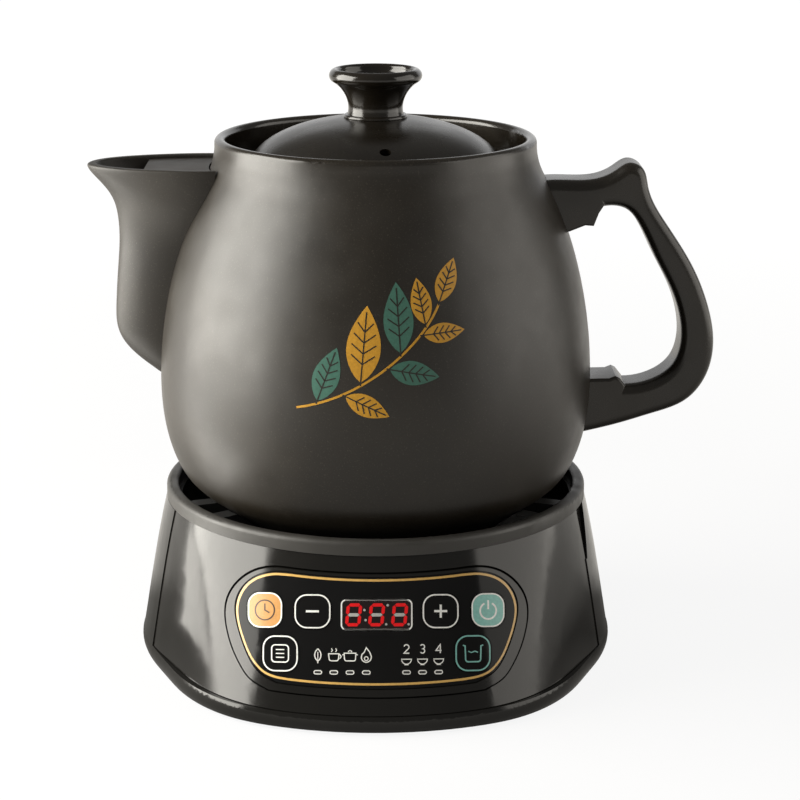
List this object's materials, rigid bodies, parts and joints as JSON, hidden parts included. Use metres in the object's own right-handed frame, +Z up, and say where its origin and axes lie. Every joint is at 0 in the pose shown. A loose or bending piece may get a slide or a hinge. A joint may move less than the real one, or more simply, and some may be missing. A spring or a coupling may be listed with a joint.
{
  "type": "electric herbal medicine pot",
  "caption": "Dark stoneware decocting pot with spout, handle and lift-off lid, standing in the well of a flared electric heating base with a sloping key panel.",
  "frame": {"origin": "on the pot's axis at the underside of the base's bottom plate; the rubber feet stand 1.5 mm below it", "axes": "+Z up along the pot's axis, -Y towards the control panel, -X towards the spout, +X towards the handle"},
  "size_m": [0.2955, 0.2399, 0.2795],
  "materials": {
    "stoneware": "satin dark brown-grey glaze",
    "knob_glaze": "glossier dark glaze",
    "shell_gloss": "polished black",
    "ring_matt": "fine matt dark",
    "panel_gloss": "polished black film",
    "key_amber": "amber print on the key",
    "key_teal": "teal print on the key",
    "key_black": "black key",
    "smoked_window": "dark red smoked window",
    "lens": "small smoked light windows",
    "circuit_board": "green board",
    "component_black": "moulded component",
    "led_body": "small lamp body",
    "zinc": "zinc-plated",
    "bowl_steel": "dark non-stick coat on pressed metal",
    "pad_silicone": "silicone",
    "cast_alloy": "cast and turned",
    "element_steel": "dull",
    "foot_rubber": "black rubber",
    "bottom_black": "moulded black",
    "pin_brass": "bright"
  },
  "bodies": {
    "base": {"top_ring": "ring_matt", "base_shell": "shell_gloss", "front_cover": "shell_gloss", "panel_plate": "panel_gloss", "panel_bezel": "panel_gloss", "display_window": "smoked_window", "indicator_lenses": "lens", "control_board": "circuit_board", "board_screws": "zinc", "tact_switches": "component_black", "indicator_leds": "led_body", "display_module": "component_black", "heating_bowl": "bowl_steel", "centring_pads": "pad_silicone", "heater_plate": "cast_alloy", "heating_element": "element_steel", "thermal_cutoff": "component_black", "probe_bridge": "zinc", "probe_spring": "zinc", "heat_shield": "element_steel", "bottom_plate": "bottom_black", "rubber_feet": "foot_rubber", "base_screws": "zinc", "power_board": "circuit_board", "transformer": "component_black", "relay": "component_black", "inlet_housing": "bottom_black", "inlet_pins": "pin_brass"},
    "pot": {"pot_body": "stoneware", "spout_strainer": "stoneware", "pot_spout": "stoneware", "pot_handle": "stoneware"},
    "lid": {"lid": "stoneware", "lid_knob": "knob_glaze"},
    "key_timer": {"key_timer": "key_amber"},
    "key_minus": {"key_minus": "key_black"},
    "key_plus": {"key_plus": "key_black"},
    "key_start": {"key_start": "key_teal"},
    "key_function": {"key_function": "key_black"},
    "key_water": {"key_water": "key_black"},
    "temperature_probe": {"temperature_probe": "cast_alloy"}
  },
  "joints": [
    {"name": "pot_lift", "type": "slide", "parent": "base", "child": "pot", "axis": [0, 0, 1], "range_m": [0, 0.09]},
    {"name": "lid_lift", "type": "slide", "parent": "pot", "child": "lid", "axis": [0, 0, 1], "range_m": [0, 0.06]},
    {"name": "key_timer_press", "type": "slide", "parent": "base", "child": "key_timer", "axis": [0, 0.9446, -0.3281], "range_m": [0, 0.0006], "stiffness_N_per_m": 1500},
    {"name": "key_minus_press", "type": "slide", "parent": "base", "child": "key_minus", "axis": [0, 0.9446, -0.3281], "range_m": [0, 0.0006], "stiffness_N_per_m": 1500},
    {"name": "key_plus_press", "type": "slide", "parent": "base", "child": "key_plus", "axis": [0, 0.9446, -0.3281], "range_m": [0, 0.0006], "stiffness_N_per_m": 1500},
    {"name": "key_start_press", "type": "slide", "parent": "base", "child": "key_start", "axis": [0, 0.9446, -0.3281], "range_m": [0, 0.0006], "stiffness_N_per_m": 1500},
    {"name": "key_function_press", "type": "slide", "parent": "base", "child": "key_function", "axis": [0, 0.9446, -0.3281], "range_m": [0, 0.0006], "stiffness_N_per_m": 1500},
    {"name": "key_water_press", "type": "slide", "parent": "base", "child": "key_water", "axis": [0, 0.9446, -0.3281], "range_m": [0, 0.0006], "stiffness_N_per_m": 1500},
    {"name": "probe_press", "type": "slide", "parent": "base", "child": "temperature_probe", "axis": [0, 0, 1], "range_m": [-0.002, 0], "stiffness_N_per_m": 200, "deforming": ["probe_spring"]}
  ]
}
